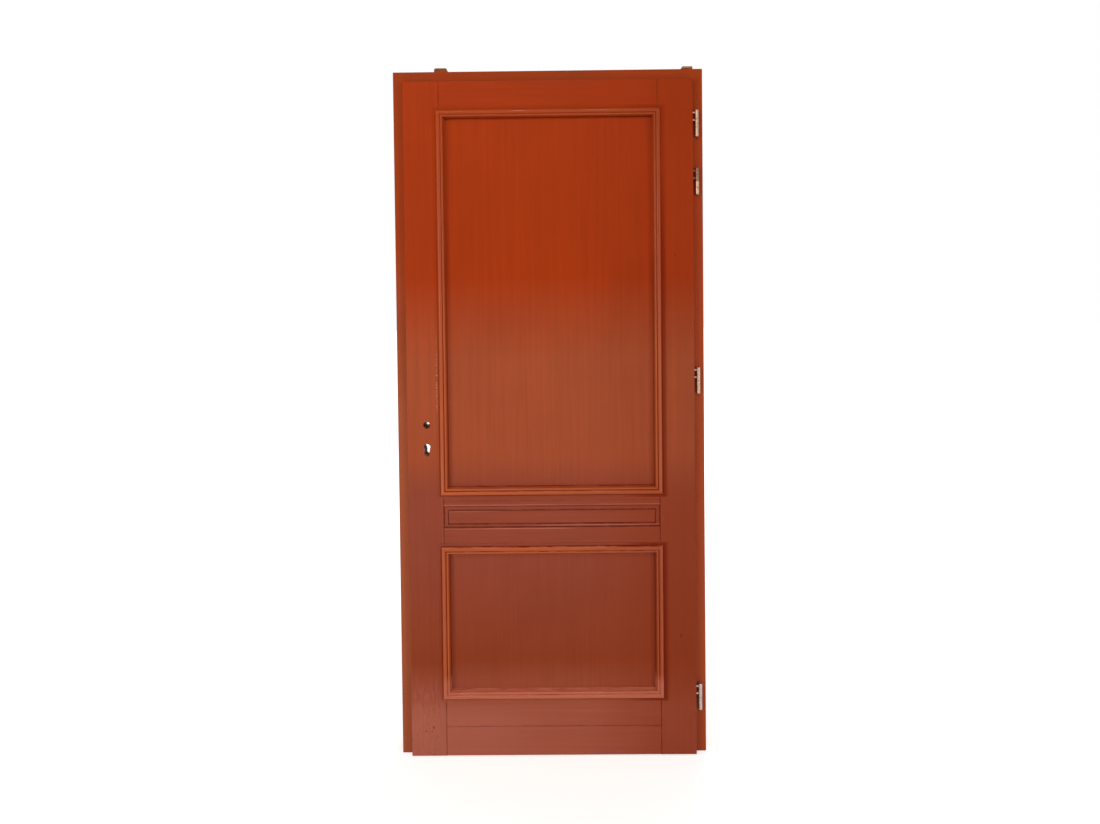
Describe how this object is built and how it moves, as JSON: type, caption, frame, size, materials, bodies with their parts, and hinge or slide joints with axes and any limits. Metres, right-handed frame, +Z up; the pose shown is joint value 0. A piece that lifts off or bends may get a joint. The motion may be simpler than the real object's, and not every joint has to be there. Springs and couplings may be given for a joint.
{
  "type": "panelled front door",
  "caption": "Panelled timber front door with raised mouldings and a fielded strip in the middle rail, hung in its rebated frame on lift-off hinges, with a mortise lock.",
  "frame": {"origin": "on the floor, in the middle of the frame's width and of the whole depth", "axes": "+Z up, -Y towards the side with the raised mouldings and the hinge barrels, +X towards the hinge side"},
  "size_m": [0.96, 0.111, 2.157],
  "materials": {
    "leaf_paint": "old red-brown brushed varnish paint on timber, half gloss, with streaks and chips",
    "panel_paint": "the same red-brown paint, smoother on the flat panels",
    "moulding_paint": "the same red-brown paint, glossier, rubbed lighter on the crests",
    "frame_paint": "duller red-brown paint on the frame",
    "lug_wood": "brown paint worn to grey on top",
    "hinge_steel": "zinc-bright steel, a little dull",
    "lock_steel": "plain zinc-plated steel",
    "spring_steel": "bare spring steel"
  },
  "bodies": {
    "frame": {"lock_jamb": "frame_paint", "hinge_jamb": "frame_paint", "frame_head": "frame_paint", "strike_plate": "lock_steel", "strike_screws": "lock_steel", "head_lug_left": "lug_wood", "head_lug_right": "lug_wood", "hinge_1_frame_knuckle": "hinge_steel", "hinge_2_frame_knuckle": "hinge_steel", "hinge_3_frame_knuckle": "hinge_steel", "hinge_4_frame_knuckle": "hinge_steel", "hinge_1_pin": "hinge_steel", "hinge_2_pin": "hinge_steel", "hinge_3_pin": "hinge_steel", "hinge_4_pin": "hinge_steel", "hinge_1_washer": "hinge_steel", "hinge_2_washer": "hinge_steel", "hinge_3_washer": "hinge_steel", "hinge_4_washer": "hinge_steel"},
    "leaf": {"lock_stile": "leaf_paint", "hinge_stile": "leaf_paint", "top_rail": "leaf_paint", "middle_rail_upper": "leaf_paint", "middle_rail_strip": "leaf_paint", "middle_rail_lower": "leaf_paint", "bottom_rail_upper": "leaf_paint", "bottom_rail_lower": "leaf_paint", "upper_panel": "panel_paint", "lower_panel": "panel_paint", "upper_moulding_left": "moulding_paint", "upper_moulding_right": "moulding_paint", "upper_moulding_top": "moulding_paint", "upper_moulding_bottom": "moulding_paint", "lower_moulding_left": "moulding_paint", "lower_moulding_right": "moulding_paint", "lower_moulding_top": "moulding_paint", "lower_moulding_bottom": "moulding_paint", "upper_back_bead_left": "moulding_paint", "upper_back_bead_right": "moulding_paint", "upper_back_bead_top": "moulding_paint", "upper_back_bead_bottom": "moulding_paint", "lower_back_bead_left": "moulding_paint", "lower_back_bead_right": "moulding_paint", "lower_back_bead_top": "moulding_paint", "lower_back_bead_bottom": "moulding_paint", "hinge_1_leaf_knuckle": "hinge_steel", "hinge_2_leaf_knuckle": "hinge_steel", "hinge_3_leaf_knuckle": "hinge_steel", "hinge_4_leaf_knuckle": "hinge_steel", "lock_case": "lock_steel", "lock_cover": "lock_steel", "cover_screws": "lock_steel", "lock_forend": "lock_steel", "forend_screws": "lock_steel", "latch_spring": "spring_steel", "bolt_detent_spring": "spring_steel"},
    "dead_bolt": {"dead_bolt": "lock_steel"},
    "latch": {"latch_bolt": "lock_steel"},
    "follower": {"follower": "lock_steel"}
  },
  "joints": [
    {"name": "leaf_swing", "type": "hinge", "parent": "frame", "child": "leaf", "pos_m": [0.4605, -0.0355, 1.2825], "axis": [0, 0, 1], "range_deg": [0, 165]},
    {"name": "follower_turn", "type": "hinge", "parent": "leaf", "child": "follower", "pos_m": [-0.387, -0.013, 1.047], "axis": [0, -1, 0], "range_deg": [0, 32]},
    {"name": "latch_slide", "type": "slide", "parent": "leaf", "child": "latch", "axis": [-1, 0, 0], "range_m": [0, 0.0105], "deforming": ["latch_spring"]},
    {"name": "bolt_slide", "type": "slide", "parent": "leaf", "child": "dead_bolt", "axis": [-1, 0, 0], "range_m": [0, 0.02], "deforming": ["bolt_detent_spring"]}
  ],
  "couplings": [
    {"joint": "follower_turn", "follows": "latch_slide", "rad_per_m": 53.19}
  ]
}
